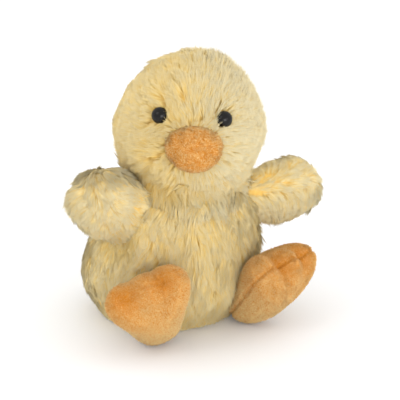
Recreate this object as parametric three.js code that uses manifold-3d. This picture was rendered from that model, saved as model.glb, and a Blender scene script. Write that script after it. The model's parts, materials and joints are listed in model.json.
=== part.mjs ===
// A plush chick that sits up, built the way it is sewn: panels of pile cloth over fibre filling.
// Millimetres, +Z up. The body faces -Y, and the chick's own left side is +X.
// The origin is the middle of the flat base that the toy sits on.
import * as THREE from "three";
import { mergeVertices } from "three/addons/utils/BufferGeometryUtils.js";
import Module from "manifold-3d";

const wasm = await Module();
wasm.setup();

// Cloth and clearances
const GAP = 0.3; // between two pieces that are sewn or pressed together
const PLUSH = 3.2; // long-pile cloth, with its pile laid down
const SHORT_PILE = 1.6; // short-pile cloth of the bill and feet
const FLOOR_GAP = 0.2; // the heels hang this far above the floor

// Body: half-widths at four heights, drawn forward towards the neck
const BASE_RADIUS = 27;
const BELLY_RADIUS = 35.3;
const BELLY_HEIGHT = 19;
const CHEST_RADIUS = 27;
const CHEST_HEIGHT = 46;
const NECK_RADIUS = 16.5;
const NECK_HEIGHT = 64;
const BODY_FLATNESS = 0.91; // depth against width
const NECK_FORWARD = 17; // how far the neck sits in front of the base
const LEAN_POWER = 1.8; // the back leans more the higher it is
const BELLY_SEAM = 14; // the side seams run this far in front of the base's middle

// Pellet pouch under the filling
const POUCH_MARGIN = 1.4; // filling left between the pouch and the cloth, at the front and back
const POUCH_HEIGHT = 11;

// Head: a ball below, a slightly pointed dome above
const HEAD_RADIUS = 28.2;
const HEAD_TOP = 27.8;
const DOME_TAPER = 0.1;
const HEAD_NEST = 14; // how far the ball sinks into the neck
const HEAD_TURN = -27;
const HEAD_ROLL = 4;
const FACE_SEAM = 4; // the seam between face and back, behind the head's middle
const GATHER_RADIUS = 1.1; // half the thickness of the gathering thread
const GATHER_ANGLE = 26; // degrees from straight down

// Eyes
const EYE_RADIUS = 3;
const EYE_BULGE = 2.7;
const EYE_SPREAD = { left_eye: 24.5, right_eye: -27.5 }; // degrees from the face's middle, set by hand
const EYE_LIFT = 20;
const STEM_RADIUS = 1.1;
const STEM_END = 1.9; // length of stem past its washer
const WASHER_RADIUS = 4;
const WASHER_THICKNESS = 1;

// Bill
const BEAK_WIDTH = 20;
const BEAK_HEIGHT = 16;
const BEAK_REACH = 9.5;
const BEAK_SINK = 1.5; // the bill's middle lies this far behind the face
const BEAK_DROP = 0.9; // below the head's middle
const BEAK_SHIFT = 0.6; // towards the chick's left, as it was sewn on
const BEAK_TAPER = 0.1; // the upper half is wider than the lower
const MOUTH_DROP = 1; // the mouth lies below the bill's middle

// Wings
const WING_LENGTH = 38.5;
const WING_CHORD = 27;
const WING_THICKNESS = 23;
const WING_ROOT = 5.5; // length of the wing behind its shoulder
const WING_SWELL = 0.14; // the tip is fuller than the root
const WING_FULLNESS = 0.75; // below 1, the ends are blunter than an ellipse's
const SHOULDER_HEIGHT = 38;
const SHOULDER_ANGLE = 17; // degrees in front of the chick's side
const SHOULDER_SINK = 4; // the shoulder lies this far inside the cloth
const HINGE_DROP = 5; // the shoulder's fold lies below the wing's middle
const LEFT_WING = { heading: -15, lift: 11, roll: 15 };
const RIGHT_WING = { heading: 199, lift: 44, roll: -25 };
const FLAP_RANGE = [-30, 8];

// Feet
const FOOT_LENGTH = 28.5; // from the hip to the toes
const HEEL_RADIUS = 9.5;
const TOE_WIDTH = 31;
const TOE_ROUND = 6; // how far below the toes the foot is widest
const WEB_DEPTH = 2.4; // how far the web draws in between two toes
const WEB_PLACE = 0.42; // across half the toes, from the middle one
const OUTER_TOE_PLACE = 0.8;
const OUTER_TOE_DROP = 1;
const FOOT_THICKNESS = 21;
const HIP_HEIGHT = 8;
const HIP_OUT = 5; // the hip lies this far outside the cloth
const LEFT_FOOT = { hip: 52, turn: 20, lean: 42, roll: 0 }; // hip: degrees in front of the side
const RIGHT_FOOT = { hip: 50, turn: 0, lean: 36, roll: -25 };
const FLEX_RANGE = [-8, 25];

// How finely the round forms are divided, as rings from pole to pole and sides round them
const BODY_FACETS = [14, 28];
const FILLING_FACETS = [9, 16];
const POUCH_FACETS = [8, 20];
const BEAK_FACETS = [8, 18];
const BEAK_FILLING_FACETS = [6, 14];
const WING_FACETS = [10, 16];
const WING_FILLING_FACETS = [7, 12];
const FOOT_FACETS = [8, 28];
const FOOT_FILLING_FACETS = [6, 14];
const BALL_SIDES = 24;
const THREAD_SIDES = 6;
const GATHER_SIDES = 18;
const EYE_SIDES = 16;
const EYE_DOME_STEPS = 5;
const CUTS_PER_TRAVEL = 4; // places on a limb's travel where the body is cut out of it

const QUARTER_TURN = Math.PI / 2;
const FAR = 300; // larger than the toy, for cutting boxes
const UP = new THREE.Vector3(0, 0, 1);
const rad = THREE.MathUtils.degToRad;

const materials = {
  plush: new THREE.MeshStandardMaterial({ color: 0xdcc99a, roughness: 0.95, metalness: 0 }),
  orange: new THREE.MeshStandardMaterial({ color: 0xdca65f, roughness: 0.9, metalness: 0 }),
  filling: new THREE.MeshStandardMaterial({ color: 0xf2efe8, roughness: 1, metalness: 0 }),
  pouch: new THREE.MeshStandardMaterial({ color: 0xd8d4c8, roughness: 0.9, metalness: 0 }),
  thread: new THREE.MeshStandardMaterial({ color: 0xd9c48e, roughness: 0.8, metalness: 0 }),
  eye: new THREE.MeshStandardMaterial({ color: 0x141210, roughness: 0.15, metalness: 0 }),
  washer: new THREE.MeshStandardMaterial({ color: 0xe6e6e2, roughness: 0.6, metalness: 0 }),
};

// A closed rounded surface. point(latitude, longitude) gives a place on it, with a pole at each end.
function ovoid(point, [rings, sides]) {
  const places = [point(-QUARTER_TURN, 0)];
  for (let ring = 1; ring < rings; ring++) {
    const latitude = Math.PI * (ring / rings - 0.5);
    for (let side = 0; side < sides; side++) {
      places.push(point(latitude, (2 * Math.PI * side) / sides));
    }
  }
  places.push(point(QUARTER_TURN, 0));
  const last = places.length - 1;
  const faces = [];
  for (let side = 0; side < sides; side++) {
    const next = (side + 1) % sides;
    faces.push(0, 1 + next, 1 + side);
    for (let ring = 0; ring < rings - 2; ring++) {
      const low = 1 + ring * sides;
      const high = low + sides;
      faces.push(low + side, low + next, high + next);
      faces.push(low + side, high + next, high + side);
    }
    faces.push(last, last - sides + side, last - sides + next);
  }
  const geometry = new THREE.BufferGeometry().setFromPoints(places);
  geometry.setIndex(faces);
  return geometry;
}

function toSolid(geometry) {
  const bare = geometry.clone();
  bare.deleteAttribute("normal");
  bare.deleteAttribute("uv");
  const merged = mergeVertices(bare);
  const vertProperties = new Float32Array(merged.attributes.position.array);
  const triVerts = new Uint32Array(merged.index.array);
  return new wasm.Manifold(new wasm.Mesh({ numProp: 3, vertProperties, triVerts }));
}

function toMesh(name, solid, material) {
  const { vertProperties, triVerts } = solid.getMesh();
  const geometry = new THREE.BufferGeometry();
  geometry.setAttribute("position", new THREE.BufferAttribute(vertProperties, 3));
  geometry.setIndex(new THREE.BufferAttribute(triVerts, 1));
  geometry.computeVertexNormals();
  const mesh = new THREE.Mesh(geometry, material);
  mesh.name = name;
  return mesh;
}

// A box that fills one side of a seam. A limit that isn't given lies far outside the toy.
function side({ x = [-FAR, FAR], y = [-FAR, FAR], z = [-FAR, FAR] }) {
  const geometry = new THREE.BoxGeometry(x[1] - x[0], y[1] - y[0], z[1] - z[0]);
  geometry.translate((x[0] + x[1]) / 2, (y[0] + y[1]) / 2, (z[0] + z[1]) / 2);
  return toSolid(geometry);
}

const above = (level) => [level + GAP / 2, FAR];
const below = (level) => [-FAR, level - GAP / 2];

// Body

const bodyProfile = new THREE.SplineCurve([
  new THREE.Vector2(BASE_RADIUS, 0),
  new THREE.Vector2(BELLY_RADIUS, BELLY_HEIGHT),
  new THREE.Vector2(CHEST_RADIUS, CHEST_HEIGHT),
  new THREE.Vector2(NECK_RADIUS, NECK_HEIGHT),
]);

function leanAt(height) {
  return -NECK_FORWARD * Math.max(0, height / NECK_HEIGHT) ** LEAN_POWER;
}

// A place on the body, along its profile from 0 at the base to 1 at the neck
function bodyPoint(along, longitude, inset) {
  const { x: radius, y: height } = bodyProfile.getPoint(along);
  const level = inset + (height * (NECK_HEIGHT - 2 * inset)) / NECK_HEIGHT;
  const across = (radius - inset) * Math.cos(longitude);
  const deep = (radius * BODY_FLATNESS - inset) * Math.sin(longitude);
  return new THREE.Vector3(across, deep + leanAt(level), level);
}

// A place on the outside of the body's cloth, at a height and an angle in front of +X
function bodyPlace(height, angle) {
  let low = 0;
  let high = 1;
  for (let step = 0; step < 30; step++) {
    const middle = (low + high) / 2;
    if (bodyProfile.getPoint(middle).y < height) low = middle;
    else high = middle;
  }
  return bodyPoint(low, -rad(angle), 0);
}

// The first and last rings close flat onto the poles, so that the base is flat
function bodyForm(inset, facets) {
  const [rings] = facets;
  return ovoid((latitude, longitude) => {
    const ring = (latitude / Math.PI + 0.5) * rings;
    const along = THREE.MathUtils.clamp((ring - 1) / (rings - 2), 0, 1);
    const place = bodyPoint(along, longitude, inset);
    const pole = Math.abs(latitude) === QUARTER_TURN;
    return pole ? place.set(0, leanAt(place.z), place.z) : place;
  }, facets);
}

const headCentre = new THREE.Vector3(0, -NECK_FORWARD, NECK_HEIGHT + HEAD_RADIUS - HEAD_NEST);

// The hollow that the head turns in, with its facets outside the ball
const ballSpread = Math.cos(Math.PI / BALL_SIDES) ** 2;
const ballRadius = (HEAD_RADIUS + GAP) / ballSpread;
const headHollow = new THREE.SphereGeometry(ballRadius, BALL_SIDES, BALL_SIDES / 2);
headHollow.rotateX(QUARTER_TURN);
headHollow.translate(headCentre.x, headCentre.y, headCentre.z);

// A ring of gathering thread lies under the head, round the neck opening
function gatherRing(thickness) {
  const reach = HEAD_RADIUS + GAP + GATHER_RADIUS;
  const ringRadius = reach * Math.sin(rad(GATHER_ANGLE));
  const ring = new THREE.TorusGeometry(ringRadius, thickness, THREAD_SIDES, GATHER_SIDES);
  const drop = reach * Math.cos(rad(GATHER_ANGLE));
  return ring.translate(headCentre.x, headCentre.y, headCentre.z - drop);
}

function pouchForm(outset) {
  const half = POUCH_HEIGHT / 2;
  const reach = BASE_RADIUS * BODY_FLATNESS - PLUSH - POUCH_MARGIN;
  return ovoid((latitude, longitude) => {
    const radius = (reach + outset) * Math.sqrt(Math.max(0, Math.cos(latitude)));
    const level = PLUSH + GAP + half + (half + outset) * Math.sin(latitude);
    return new THREE.Vector3(radius * Math.cos(longitude), radius * Math.sin(longitude), level);
  }, POUCH_FACETS);
}

function makeBody() {
  const neck = toSolid(headHollow).add(toSolid(gatherRing(GATHER_RADIUS + GAP)));
  const outside = toSolid(bodyForm(0, BODY_FACETS));
  const inside = toSolid(bodyForm(PLUSH, FILLING_FACETS));
  const cover = outside.subtract(inside).subtract(neck);
  const pouchRoom = toSolid(pouchForm(GAP)).add(toSolid(pouchForm(GAP).translate(0, 0, -PLUSH)));
  const filling = toSolid(bodyForm(PLUSH + GAP, FILLING_FACETS))
    .subtract(neck)
    .subtract(pouchRoom);
  const wall = above(PLUSH);
  const front = below(-BELLY_SEAM);
  const back = above(-BELLY_SEAM);
  return [
    toMesh("body_base", cover.intersect(side({ z: below(PLUSH) })), materials.plush),
    toMesh("body_belly", cover.intersect(side({ y: front, z: wall })), materials.plush),
    toMesh("body_back_left", cover.intersect(side({ x: above(0), y: back, z: wall })), materials.plush),
    toMesh("body_back_right", cover.intersect(side({ x: below(0), y: back, z: wall })), materials.plush),
    toMesh("body_filling", filling, materials.filling),
    toMesh("pellet_pouch", toSolid(pouchForm(0)), materials.pouch),
    toMesh("neck_gather", toSolid(gatherRing(GATHER_RADIUS)), materials.thread),
  ];
}

// Head, made about its own centre

function headPoint(latitude, longitude, inset) {
  const lift = Math.sin(latitude);
  const taper = 1 - DOME_TAPER * Math.max(0, lift);
  const radius = (HEAD_RADIUS - inset) * Math.cos(latitude) * taper;
  const level = (lift < 0 ? HEAD_RADIUS - inset : HEAD_TOP - inset) * lift;
  return new THREE.Vector3(radius * Math.cos(longitude), radius * Math.sin(longitude), level);
}

function headForm(inset, facets) {
  return ovoid((latitude, longitude) => headPoint(latitude, longitude, inset), facets);
}

function eyeGroup(spread) {
  const place = headPoint(rad(EYE_LIFT), rad(spread - 90), 0);
  const outward = place.clone().normalize();
  const group = new THREE.Group();
  group.position.copy(place.addScaledVector(outward, GAP));
  group.quaternion.setFromUnitVectors(UP, outward);
  group.updateMatrix();
  return group;
}

// A round hole on the eye's axis, between two levels counted from the eye's seat
function eyeBore(group, radius, top, bottom) {
  const bore = new THREE.CylinderGeometry(radius, radius, top - bottom, EYE_SIDES);
  bore.rotateX(QUARTER_TURN);
  bore.translate(0, 0, (top + bottom) / 2);
  return toSolid(bore.applyMatrix4(group.matrix));
}

// A profile of radius and height pairs, turned about the eye's own axis
function turned(profile) {
  const points = profile.map(([radius, height]) => new THREE.Vector2(radius, height));
  return new THREE.LatheGeometry(points, EYE_SIDES).rotateX(QUARTER_TURN);
}

const washerTop = -PLUSH - 3 * GAP;
const washerBottom = washerTop - WASHER_THICKNESS;
const stemBottom = washerBottom - STEM_END;

function makeEye(name, group) {
  const profile = [[0, stemBottom], [STEM_RADIUS, stemBottom], [STEM_RADIUS, 0]];
  for (let step = 0; step <= EYE_DOME_STEPS; step++) {
    const angle = (QUARTER_TURN * step) / EYE_DOME_STEPS;
    profile.push([EYE_RADIUS * Math.cos(angle), EYE_BULGE * Math.sin(angle)]);
  }
  profile[profile.length - 1][0] = 0;
  const bore = STEM_RADIUS + GAP;
  const ring = [
    [bore, washerBottom],
    [WASHER_RADIUS, washerBottom],
    [WASHER_RADIUS, washerTop],
    [bore, washerTop],
    [bore, washerBottom],
  ];
  group.add(toMesh(name, toSolid(turned(profile)), materials.eye));
  group.add(toMesh(`${name}_washer`, toSolid(turned(ring)), materials.washer));
}

function beakForm(inset, facets) {
  return ovoid((latitude, longitude) => {
    const lift = Math.sin(latitude);
    const girth = Math.cos(latitude);
    const across = (BEAK_WIDTH / 2 - inset) * girth * (1 + BEAK_TAPER * lift) * Math.cos(longitude);
    const deep = (BEAK_REACH - inset) * girth * Math.sin(longitude) - (HEAD_RADIUS - BEAK_SINK);
    const level = (BEAK_HEIGHT / 2 - inset) * lift - BEAK_DROP;
    return new THREE.Vector3(across + BEAK_SHIFT, deep, level);
  }, facets);
}

function makeHead() {
  const head = new THREE.Group();
  head.position.copy(headCentre);
  head.rotation.set(0, rad(HEAD_ROLL), rad(HEAD_TURN), "ZYX");

  let cover = toSolid(headForm(0, BODY_FACETS)).subtract(toSolid(headForm(PLUSH, FILLING_FACETS)));
  let filling = toSolid(headForm(PLUSH + GAP, FILLING_FACETS));
  for (const [name, spread] of Object.entries(EYE_SPREAD)) {
    const eye = eyeGroup(spread);
    const room = eyeBore(eye, STEM_RADIUS + GAP, EYE_BULGE, stemBottom - GAP)
      .add(eyeBore(eye, WASHER_RADIUS + GAP, washerTop + GAP, washerBottom - GAP));
    cover = cover.subtract(room);
    filling = filling.subtract(room);
    makeEye(name, eye);
    head.add(eye);
  }
  const panels = {
    head_face_left: { x: above(0), y: below(FACE_SEAM) },
    head_face_right: { x: below(0), y: below(FACE_SEAM) },
    head_back_left: { x: above(0), y: above(FACE_SEAM) },
    head_back_right: { x: below(0), y: above(FACE_SEAM) },
  };
  for (const [name, room] of Object.entries(panels)) {
    head.add(toMesh(name, cover.intersect(side(room)), materials.plush));
  }
  head.add(toMesh("head_filling", filling, materials.filling));

  const face = toSolid(headForm(-GAP, BODY_FACETS));
  const mouth = -BEAK_DROP - MOUTH_DROP;
  const bill = toSolid(beakForm(0, BEAK_FACETS))
    .subtract(toSolid(beakForm(SHORT_PILE, BEAK_FILLING_FACETS)))
    .subtract(face);
  const billFilling = toSolid(beakForm(SHORT_PILE + GAP, BEAK_FILLING_FACETS)).subtract(face);
  head.add(toMesh("beak_upper", bill.intersect(side({ z: above(mouth) })), materials.orange));
  head.add(toMesh("beak_lower", bill.intersect(side({ z: below(mouth) })), materials.orange));
  head.add(toMesh("beak_filling", billFilling, materials.filling));
  return head;
}

// Limbs, each made about its own hinge and cut by the body wherever the limb meets it on its travel

function bodyOnTravel(group, pivot, axis, range) {
  const shapes = [bodyForm(-GAP, BODY_FACETS), headHollow];
  const intoLimb = group.matrix.clone().invert();
  const away = new THREE.Matrix4().makeTranslation(pivot);
  const back = away.clone().invert();
  let room = null;
  for (let cut = 0; cut < CUTS_PER_TRAVEL; cut++) {
    const angle = THREE.MathUtils.lerp(range[0], range[1], cut / (CUTS_PER_TRAVEL - 1));
    const turn = new THREE.Matrix4().makeRotationAxis(axis, -rad(angle));
    const place = intoLimb.clone().multiply(away).multiply(turn).multiply(back);
    for (const shape of shapes) {
      const solid = toSolid(shape.clone().applyMatrix4(place));
      room = room ? room.add(solid) : solid;
    }
  }
  return room;
}

// Wings: along +X from the shoulder, thick along Y and deep along Z
function wingForm(inset, facets) {
  const half = WING_LENGTH / 2;
  return ovoid((latitude, longitude) => {
    const out = Math.sin(latitude);
    const girth = Math.max(0, Math.cos(latitude)) ** WING_FULLNESS * (1 + WING_SWELL * out);
    return new THREE.Vector3(
      half - WING_ROOT + (half - inset) * out,
      (WING_THICKNESS / 2 - inset) * girth * Math.cos(longitude),
      (WING_CHORD / 2 - inset) * girth * Math.sin(longitude),
    );
  }, facets);
}

function makeWing(name, sign, pose) {
  const group = new THREE.Group();
  const facing = rad(pose.heading);
  const lift = rad(pose.lift);
  const outward = new THREE.Vector3(Math.cos(facing), Math.sin(facing), 0);
  const hinge = new THREE.Vector3(Math.sin(facing), -Math.cos(facing), 0);
  const fold = bodyPlace(SHOULDER_HEIGHT, SHOULDER_ANGLE);
  fold.x *= sign;
  fold.addScaledVector(outward, -SHOULDER_SINK);
  const upright = UP.clone().applyAxisAngle(hinge, lift);
  group.position.copy(fold).addScaledVector(upright, HINGE_DROP);
  group.rotation.set(rad(pose.roll), -lift, facing, "ZYX");
  group.updateMatrix();
  const room = bodyOnTravel(group, fold, hinge, FLAP_RANGE);
  const cover = toSolid(wingForm(0, WING_FACETS))
    .subtract(toSolid(wingForm(PLUSH, WING_FILLING_FACETS)))
    .subtract(room);
  const filling = toSolid(wingForm(PLUSH + GAP, WING_FILLING_FACETS)).subtract(room);
  group.add(toMesh(`${name}_upper`, cover.intersect(side({ z: above(0) })), materials.plush));
  group.add(toMesh(`${name}_lower`, cover.intersect(side({ z: below(0) })), materials.plush));
  group.add(toMesh(`${name}_filling`, filling, materials.filling));
  return group;
}

// Feet: along +Z from the hip to the toes, with the sole at -Y.
// The outline has a middle toe, two webs and two outer toes, and narrows to the heel.
const toe = TOE_WIDTH / 2;
const footSide = [
  [toe * WEB_PLACE, FOOT_LENGTH - WEB_DEPTH],
  [toe * OUTER_TOE_PLACE, FOOT_LENGTH - OUTER_TOE_DROP],
  [toe, FOOT_LENGTH - TOE_ROUND],
  [(toe + HEEL_RADIUS) / 2, (FOOT_LENGTH - TOE_ROUND) / 2],
  [HEEL_RADIUS, 0],
  [HEEL_RADIUS * Math.SQRT1_2, -HEEL_RADIUS * Math.SQRT1_2],
];
const footEdge = new THREE.CatmullRomCurve3([
  new THREE.Vector3(0, 0, FOOT_LENGTH),
  ...footSide.map(([x, z]) => new THREE.Vector3(x, 0, z)),
  new THREE.Vector3(0, 0, -HEEL_RADIUS),
  ...footSide.toReversed().map(([x, z]) => new THREE.Vector3(-x, 0, z)),
], true);

function footForm(inset, facets) {
  const middle = new THREE.Vector3(0, 0, (FOOT_LENGTH - HEEL_RADIUS) / 2);
  return ovoid((latitude, longitude) => {
    const edge = footEdge.getPoint(longitude / (2 * Math.PI)).sub(middle);
    const reach = edge.length();
    const place = edge.multiplyScalar((Math.cos(latitude) * (reach - inset)) / reach).add(middle);
    place.y = (FOOT_THICKNESS / 2 - inset) * Math.sin(latitude);
    return place;
  }, facets);
}

function makeFoot(name, sign, pose) {
  const group = new THREE.Group();
  const facing = rad(pose.turn);
  const outward = new THREE.Vector3(Math.sin(facing), -Math.cos(facing), 0);
  const hip = bodyPlace(HIP_HEIGHT, pose.hip);
  hip.x *= sign;
  group.position.copy(hip).addScaledVector(outward, HIP_OUT);
  group.rotation.set(rad(pose.lean), rad(pose.roll), facing, "ZXY");
  group.updateMatrix();
  const sole = footForm(0, FOOT_FACETS).applyMatrix4(group.matrix);
  sole.computeBoundingBox();
  group.position.z += FLOOR_GAP - sole.boundingBox.min.z;
  group.updateMatrix();
  const hinge = new THREE.Vector3(Math.cos(facing), Math.sin(facing), 0);
  const room = bodyOnTravel(group, group.position, hinge, FLEX_RANGE);
  const cover = toSolid(footForm(0, FOOT_FACETS))
    .subtract(toSolid(footForm(SHORT_PILE, FOOT_FILLING_FACETS)))
    .subtract(room);
  const filling = toSolid(footForm(SHORT_PILE + GAP, FOOT_FILLING_FACETS)).subtract(room);
  group.add(toMesh(`${name}_top`, cover.intersect(side({ y: above(0) })), materials.orange));
  group.add(toMesh(`${name}_sole`, cover.intersect(side({ y: below(0) })), materials.orange));
  group.add(toMesh(`${name}_filling`, filling, materials.filling));
  return group;
}

const chick = new THREE.Group();
chick.add(...makeBody());
chick.add(makeHead());
chick.add(makeWing("left_wing", 1, LEFT_WING), makeWing("right_wing", -1, RIGHT_WING));
chick.add(makeFoot("left_foot", 1, LEFT_FOOT), makeFoot("right_foot", -1, RIGHT_FOOT));

export default chick;
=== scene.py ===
# %% [markdown]
# # A plush chick
# A small sitting soft toy: long cream-yellow pile over stuffed forms, black safety eyes, and a bill
# and two webbed feet of short orange pile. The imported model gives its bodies, joints and sizes. This
# lesson dresses those forms: a stuffed skin under each panel, then the pile itself, tuft by tuft.

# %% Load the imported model
import json
from dataclasses import dataclass

import bpy
import numpy as np
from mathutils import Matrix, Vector


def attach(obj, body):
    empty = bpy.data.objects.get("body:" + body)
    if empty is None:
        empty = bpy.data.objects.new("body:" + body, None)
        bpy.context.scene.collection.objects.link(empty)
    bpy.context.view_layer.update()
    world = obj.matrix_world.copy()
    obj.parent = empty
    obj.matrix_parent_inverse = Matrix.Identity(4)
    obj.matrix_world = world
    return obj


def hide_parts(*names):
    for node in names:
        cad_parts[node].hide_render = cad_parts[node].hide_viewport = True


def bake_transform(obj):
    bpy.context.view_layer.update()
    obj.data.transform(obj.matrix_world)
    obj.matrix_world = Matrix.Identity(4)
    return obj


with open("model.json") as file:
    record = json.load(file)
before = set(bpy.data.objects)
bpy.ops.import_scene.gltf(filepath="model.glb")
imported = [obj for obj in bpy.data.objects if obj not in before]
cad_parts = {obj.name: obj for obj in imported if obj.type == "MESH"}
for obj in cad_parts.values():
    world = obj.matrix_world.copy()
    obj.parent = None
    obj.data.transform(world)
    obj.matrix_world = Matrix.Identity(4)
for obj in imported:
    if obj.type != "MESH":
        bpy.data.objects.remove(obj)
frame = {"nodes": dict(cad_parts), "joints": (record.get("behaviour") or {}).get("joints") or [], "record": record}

MM = 0.001
TAU = 2 * np.pi
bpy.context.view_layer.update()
pivots = {joint["name"]: np.array(joint["pos_m"]) for joint in frame["joints"]}

# %% [markdown]
# ## Camera
# The photograph looks a little down on the chick, from its right. A long lens keeps the head and the
# feet at nearly one scale, so the camera stands over half a metre away from a toy that is a hand tall.

# %% Camera
VIEW_AZIMUTH = np.radians(-30)
VIEW_ELEVATION = np.radians(19)
VIEW_DISTANCE = 620 * MM
VIEW_AIM = Vector((2.245, -21.3, 50)) * MM
SENSOR_WIDTH = 36
PHOTO_WIDTH = 400
FOCAL_PIXELS = 1674
CLIP_START = 10 * MM

towards_camera = Vector((
    np.sin(VIEW_AZIMUTH) * np.cos(VIEW_ELEVATION),
    -np.cos(VIEW_AZIMUTH) * np.cos(VIEW_ELEVATION),
    np.sin(VIEW_ELEVATION),
))
camera_data = bpy.data.cameras.new("camera")
camera_data.sensor_width = SENSOR_WIDTH
camera_data.lens = SENSOR_WIDTH * FOCAL_PIXELS / PHOTO_WIDTH
camera_data.clip_start = CLIP_START
camera = bpy.data.objects.new("camera", camera_data)
camera.location = VIEW_AIM + towards_camera * VIEW_DISTANCE
camera.rotation_euler = (-towards_camera).to_track_quat("-Z", "Y").to_euler()
bpy.context.collection.objects.link(camera)
bpy.context.scene.camera = camera
bpy.context.scene.view_settings.view_transform = "Standard"
print("lens", round(camera_data.lens, 1), "mm")

# %% [markdown]
# ## Meshes from arrays
# Every piece below is a numpy array of points. These helpers turn arrays into Blender meshes in one
# go, which is far quicker than adding a vertex at a time. A closed form is a grid of rows whose first
# and last rows shrink to a pole, so it never has a hole.

# %% Mesh helpers
TINY = 1e-12


def unit(vectors):
    """Vectors divided by their own lengths."""
    return vectors / np.maximum(np.linalg.norm(vectors, axis=-1, keepdims=True), TINY)


def put_mesh(name, points, triangles, material, uv=None, normals=None):
    """A smooth mesh object at the origin, from points (n, 3) and triangles (m, 3) of their numbers."""
    mesh = bpy.data.meshes.new(name)
    mesh.vertices.add(len(points))
    mesh.vertices.foreach_set("co", points.astype(np.float32).ravel())
    mesh.loops.add(triangles.size)
    mesh.loops.foreach_set("vertex_index", triangles.astype(np.int32).ravel())
    mesh.polygons.add(len(triangles))
    mesh.polygons.foreach_set("loop_start", np.arange(0, triangles.size, 3, dtype=np.int32))
    mesh.polygons.foreach_set("use_smooth", np.ones(len(triangles), dtype=bool))
    if uv is not None:
        layer = mesh.uv_layers.new(name="OFBake")
        layer.uv.foreach_set("vector", uv[triangles.ravel()].astype(np.float32).ravel())
    mesh.materials.append(material)
    mesh.update(calc_edges=True)
    mesh.validate()
    if normals is not None:
        mesh.normals_split_custom_set_from_vertices(normals.astype(np.float32))
    piece = bpy.data.objects.new(name, mesh)
    bpy.context.collection.objects.link(piece)
    return piece


def closed_rows(rows):
    """Points and triangles of a closed form: inner rows join into quads, the end rows into fans."""
    inner = rows[1:-1]
    count, around = inner.shape[:2]
    points = np.concatenate([rows[:1, 0], inner.reshape(-1, 3), rows[-1:, 0]])
    ring = np.arange(around)
    after = (ring + 1) % around
    base = 1 + around * np.arange(count - 1)[:, None]
    here, right = base + ring, base + after
    above, corner = here + around, right + around
    last_ring = 1 + around * (count - 1)
    top = len(points) - 1
    triangles = np.concatenate([
        np.stack([here, right, corner], -1).reshape(-1, 3),
        np.stack([here, corner, above], -1).reshape(-1, 3),
        np.stack([np.zeros(around, int), 1 + after, 1 + ring], -1),
        np.stack([np.full(around, top), last_ring + ring, last_ring + after], -1),
    ])
    return points, triangles


def turn(axis, degrees):
    """The matrix that turns points about the X, Y or Z axis, counted counter-clockwise."""
    c, s = np.cos(np.radians(degrees)), np.sin(np.radians(degrees))
    rows = {
        "x": [[1, 0, 0], [0, c, -s], [0, s, c]],
        "y": [[c, 0, s], [0, 1, 0], [-s, 0, c]],
        "z": [[c, -s, 0], [s, c, 0], [0, 0, 1]],
    }
    return np.array(rows[axis])


# %% [markdown]
# ## Materials
# Plush is fibre coloured by dye. Along each strand the colour is painted shade and light: golden at
# the root, as painted shade deep in the pile, and nearly cream at the tip, as painted light where the tips
# catch it. Each strand carries a small UV map, u along the strand and v its tone, and the pile's colour
# reads only that, so it stays on the strand however the toy moves. A soft warm sheen stands for the light
# that grazes the fibres.

# %% Material helpers
NOISE_DETAIL = 4.0
BUMP_STRENGTH = 0.6


def srgb(red, green, blue):
    """A colour given in the 0 to 255 of a picture file, as linear values by the standard sRGB curve."""
    c = np.array([red, green, blue]) / 255
    linear = np.where(c <= 0.04045, c / 12.92, ((c + 0.055) / 1.055) ** 2.4)
    return (*linear.tolist(), 1.0)


def new_material(name, roughness):
    """A material with one Principled shader, and its node tree."""
    material = bpy.data.materials.new(name)
    material.use_nodes = True
    tree = material.node_tree
    shader = tree.nodes["Principled BSDF"]
    shader.inputs["Roughness"].default_value = roughness
    return material, tree, shader


def add_ramp(tree, factor, stops):
    """A colour ramp over a factor, with stops of (position, colour)."""
    ramp = tree.nodes.new("ShaderNodeValToRGB")
    elements = ramp.color_ramp.elements
    while len(elements) < len(stops):
        elements.new(0.5)
    for element, (position, colour) in zip(elements, stops):
        element.position = position
        element.color = colour
    tree.links.new(factor, ramp.inputs["Fac"])
    return ramp.outputs["Color"]


def add_mix(tree, factor, first, second):
    """Two colours mixed by a factor."""
    mix = tree.nodes.new("ShaderNodeMix")
    mix.data_type = "RGBA"
    tree.links.new(factor, mix.inputs["Factor"])
    tree.links.new(first, mix.inputs["A"])
    tree.links.new(second, mix.inputs["B"])
    return mix.outputs["Result"]


def add_noise(tree, scale):
    """Noise on the piece's own coordinates: scale is in waves a metre."""
    place = tree.nodes.new("ShaderNodeTexCoord")
    noise = tree.nodes.new("ShaderNodeTexNoise")
    noise.inputs["Scale"].default_value = scale
    noise.inputs["Detail"].default_value = NOISE_DETAIL
    tree.links.new(place.outputs["Object"], noise.inputs["Vector"])
    return noise.outputs["Fac"]


def add_bump(tree, shader, height, distance):
    """Bump from a height, as deep as distance in metres."""
    bump = tree.nodes.new("ShaderNodeBump")
    bump.inputs["Strength"].default_value = BUMP_STRENGTH
    bump.inputs["Distance"].default_value = distance
    tree.links.new(height, bump.inputs["Height"])
    tree.links.new(bump.outputs["Normal"], shader.inputs["Normal"])


# %% Pile and cloth
PILE_ROUGHNESS = 0.85
SHEEN_WEIGHT = 0.25
SHEEN_ROUGHNESS = 0.5
SHEEN_TINT = srgb(255, 240, 200)
CLOTH_ROUGHNESS = 0.9
CLOTH_SHINE = 0.2
GRAIN_DARK = 0.35
GRAIN_LIGHT = 0.65


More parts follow.
